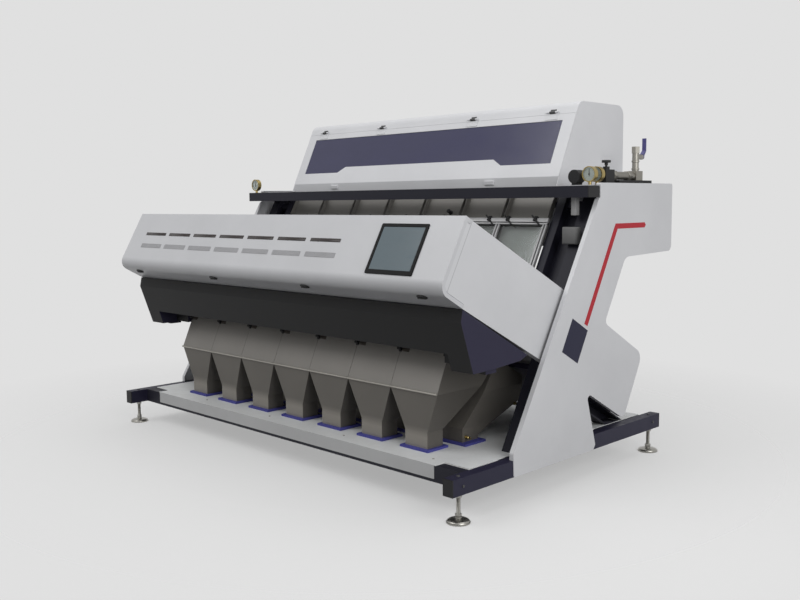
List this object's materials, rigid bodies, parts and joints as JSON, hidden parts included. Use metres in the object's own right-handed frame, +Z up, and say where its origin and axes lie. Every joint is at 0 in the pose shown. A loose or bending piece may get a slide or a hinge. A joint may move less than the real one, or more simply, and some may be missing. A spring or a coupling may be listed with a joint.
{
  "type": "optical colour sorter",
  "caption": "Chute-fed optical grain sorter: hood with feeders on top, slanted glass-covered chutes, tilting console lid, and rows of outlet funnels on a footed base frame.",
  "frame": {"origin": "centre of the bounding box in plan, on the floor under the foot pads", "axes": "+X along the long side to the operator's right, +Y to the rear, +Z up"},
  "size_m": [2.966, 1.9057, 2],
  "materials": {
    "white": "satin powder coat",
    "navy": "semi-gloss powder coat",
    "charcoal": "satin powder coat",
    "black_plastic": "matte",
    "mat": "matte",
    "foot": "zinc and black",
    "trim": "vinyl film",
    "violet_window": "tinted acrylic",
    "steel": "brushed",
    "drive": "moulded housing",
    "alu": "satin",
    "clear_glass": "clear",
    "funnel": "fine brushed",
    "screen": "glossy",
    "slots": "smoked",
    "regulator": "matte",
    "valve": "cast and turned",
    "gauge": "satin",
    "lever": "dipped"
  },
  "bodies": {
    "machine": {"base_tray": "white", "side_panel_left": "white", "side_panel_right": "white", "feeder_deck": "white", "hood_shell": "white", "console_body": "white", "base_beam_left": "navy", "base_beam_right": "navy", "cross_beams": "navy", "side_frame_left": "navy", "side_frame_right": "navy", "cross_members": "navy", "rear_camera_box": "navy", "front_camera_box": "charcoal", "beam_end_caps": "black_plastic", "rail_clips": "black_plastic", "outlet_mats": "mat", "side_trim": "trim", "hood_hinges": "steel", "inlet_hopper": "steel", "door_fittings": "steel", "feeder_drives": "drive", "chutes": "alu", "glass_frame": "alu", "ejector_bar": "alu", "front_optics": "alu", "rear_optics": "alu", "glass_panes": "clear_glass", "camera_windows": "clear_glass", "front_funnels": "funnel", "rear_funnels": "funnel", "air_regulator": "regulator", "air_valve": "valve", "air_gauges": "gauge"},
    "hood_flap": {"hood_flap": "white", "hood_window": "violet_window"},
    "feeder_trays": {"feeder_trays": "steel"},
    "console_lid": {"console_lid": "white", "lid_screen": "screen", "lid_slots": "slots"},
    "regulator_knob": {"regulator_knob": "black_plastic"},
    "valve_lever": {"valve_lever": "lever"},
    "foot_front_left": {"foot_front_left": "foot"},
    "foot_front_right": {"foot_front_right": "foot"},
    "foot_rear_left": {"foot_rear_left": "foot"},
    "foot_rear_right": {"foot_rear_right": "foot"},
    "sample_door_1": {"sample_door_1": "funnel"},
    "sample_door_2": {"sample_door_2": "funnel"},
    "sample_door_3": {"sample_door_3": "funnel"},
    "sample_door_4": {"sample_door_4": "funnel"},
    "sample_door_5": {"sample_door_5": "funnel"},
    "sample_door_6": {"sample_door_6": "funnel"},
    "sample_door_7": {"sample_door_7": "funnel"},
    "lid_latch_1": {"lid_latch_1": "black_plastic"},
    "lid_latch_2": {"lid_latch_2": "black_plastic"},
    "lid_latch_3": {"lid_latch_3": "black_plastic"},
    "lid_latch_4": {"lid_latch_4": "black_plastic"},
    "gauge_needle_1": {"gauge_needle_1": "black_plastic"},
    "gauge_needle_2": {"gauge_needle_2": "black_plastic"},
    "gauge_needle_3": {"gauge_needle_3": "black_plastic"}
  },
  "joints": [
    {"name": "foot_front_left_turn", "type": "hinge", "parent": "machine", "child": "foot_front_left", "pos_m": [-1.427, -0.864, 0], "axis": [0, 0, 1], "continuous": true},
    {"name": "foot_front_right_turn", "type": "hinge", "parent": "machine", "child": "foot_front_right", "pos_m": [1.427, -0.864, 0], "axis": [0, 0, 1], "continuous": true},
    {"name": "foot_rear_left_turn", "type": "hinge", "parent": "machine", "child": "foot_rear_left", "pos_m": [-1.427, 0.792, 0], "axis": [0, 0, 1], "continuous": true},
    {"name": "foot_rear_right_turn", "type": "hinge", "parent": "machine", "child": "foot_rear_right", "pos_m": [1.427, 0.792, 0], "axis": [0, 0, 1], "continuous": true},
    {"name": "hood_flap_hinge", "type": "hinge", "parent": "machine", "child": "hood_flap", "pos_m": [0, 0.44077, 1.94495], "axis": [-1, 0, 0], "range_deg": [0, 100]},
    {"name": "feeder_shake", "type": "slide", "parent": "machine", "child": "feeder_trays", "axis": [0, 1, 0], "range_m": [-0.0015, 0.0015], "stiffness_N_per_m": 200000},
    {"name": "sample_door_1_hinge", "type": "hinge", "parent": "machine", "child": "sample_door_1", "pos_m": [-0.975, -0.69188, 0.52053], "axis": [1, 0, 0], "range_deg": [0, 110]},
    {"name": "sample_door_2_hinge", "type": "hinge", "parent": "machine", "child": "sample_door_2", "pos_m": [-0.65, -0.69188, 0.52053], "axis": [1, 0, 0], "range_deg": [0, 110]},
    {"name": "sample_door_3_hinge", "type": "hinge", "parent": "machine", "child": "sample_door_3", "pos_m": [-0.325, -0.69188, 0.52053], "axis": [1, 0, 0], "range_deg": [0, 110]},
    {"name": "sample_door_4_hinge", "type": "hinge", "parent": "machine", "child": "sample_door_4", "pos_m": [0, -0.69188, 0.52053], "axis": [1, 0, 0], "range_deg": [0, 110]},
    {"name": "sample_door_5_hinge", "type": "hinge", "parent": "machine", "child": "sample_door_5", "pos_m": [0.325, -0.69188, 0.52053], "axis": [1, 0, 0], "range_deg": [0, 110]},
    {"name": "sample_door_6_hinge", "type": "hinge", "parent": "machine", "child": "sample_door_6", "pos_m": [0.65, -0.69188, 0.52053], "axis": [1, 0, 0], "range_deg": [0, 110]},
    {"name": "sample_door_7_hinge", "type": "hinge", "parent": "machine", "child": "sample_door_7", "pos_m": [0.975, -0.69188, 0.52053], "axis": [1, 0, 0], "range_deg": [0, 110]},
    {"name": "console_lid_hinge", "type": "hinge", "parent": "machine", "child": "console_lid", "pos_m": [0, -0.74802, 1.37134], "axis": [-1, 0, 0], "range_deg": [0, 75]},
    {"name": "lid_latch_1_turn", "type": "hinge", "parent": "console_lid", "child": "lid_latch_1", "pos_m": [-1.255, -0.91183, 1.02424], "axis": [0, 0.4848, 0.8746], "range_deg": [0, 90]},
    {"name": "lid_latch_2_turn", "type": "hinge", "parent": "console_lid", "child": "lid_latch_2", "pos_m": [-0.41833, -0.91183, 1.02424], "axis": [0, 0.4848, 0.8746], "range_deg": [0, 90]},
    {"name": "lid_latch_3_turn", "type": "hinge", "parent": "console_lid", "child": "lid_latch_3", "pos_m": [0.41833, -0.91183, 1.02424], "axis": [0, 0.4848, 0.8746], "range_deg": [0, 90]},
    {"name": "lid_latch_4_turn", "type": "hinge", "parent": "console_lid", "child": "lid_latch_4", "pos_m": [1.255, -0.91183, 1.02424], "axis": [0, 0.4848, 0.8746], "range_deg": [0, 90]},
    {"name": "regulator_knob_turn", "type": "hinge", "parent": "machine", "child": "regulator_knob", "pos_m": [1.38, 0.387, 1.648], "axis": [0, 0, 1], "continuous": true},
    {"name": "valve_lever_turn", "type": "hinge", "parent": "machine", "child": "valve_lever", "pos_m": [1.38, 0.744, 1.688], "axis": [0, -1, 0], "range_deg": [0, 90]},
    {"name": "gauge_needle_1_turn", "type": "hinge", "parent": "machine", "child": "gauge_needle_1", "pos_m": [1.38, 0.226, 1.586], "axis": [0, 1, 0], "range_deg": [-135, 135], "stiffness_Nm_per_rad": 0.02},
    {"name": "gauge_needle_2_turn", "type": "hinge", "parent": "machine", "child": "gauge_needle_2", "pos_m": [1.38, 0.292, 1.586], "axis": [0, 1, 0], "range_deg": [-135, 135], "stiffness_Nm_per_rad": 0.02},
    {"name": "gauge_needle_3_turn", "type": "hinge", "parent": "machine", "child": "gauge_needle_3", "pos_m": [-1.43, 0.142, 1.581], "axis": [0, 1, 0], "range_deg": [-135, 135], "stiffness_Nm_per_rad": 0.02}
  ]
}
